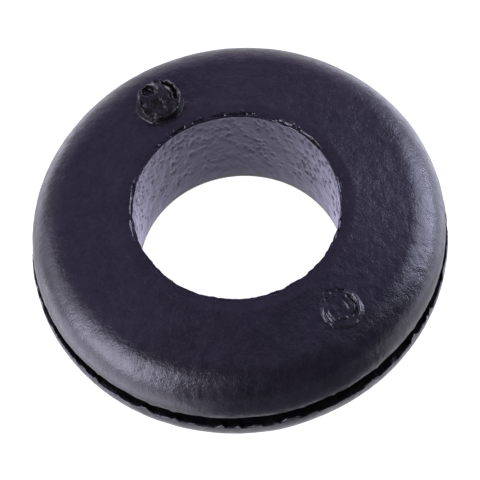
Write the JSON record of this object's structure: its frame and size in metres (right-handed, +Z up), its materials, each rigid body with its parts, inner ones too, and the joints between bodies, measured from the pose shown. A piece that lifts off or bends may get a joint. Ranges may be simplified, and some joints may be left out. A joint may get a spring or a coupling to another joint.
{
  "type": "rubber grommet",
  "caption": "Black moulded rubber grommet: a round bore for a cable between two domed flanges, with a groove that grips the edge of a round panel hole.",
  "frame": {"origin": "centre of the underside, on the bore's axis", "axes": "+Z up along the bore, towards the face with the two gate stubs"},
  "size_m": [0.0256, 0.0256, 0.0082],
  "materials": {
    "rubber": "satin black moulded rubber, slightly violet, with fine grain, flash at its edges and two torn gates"
  },
  "bodies": {
    "root": {"grommet": "rubber"}
  },
  "joints": []
}
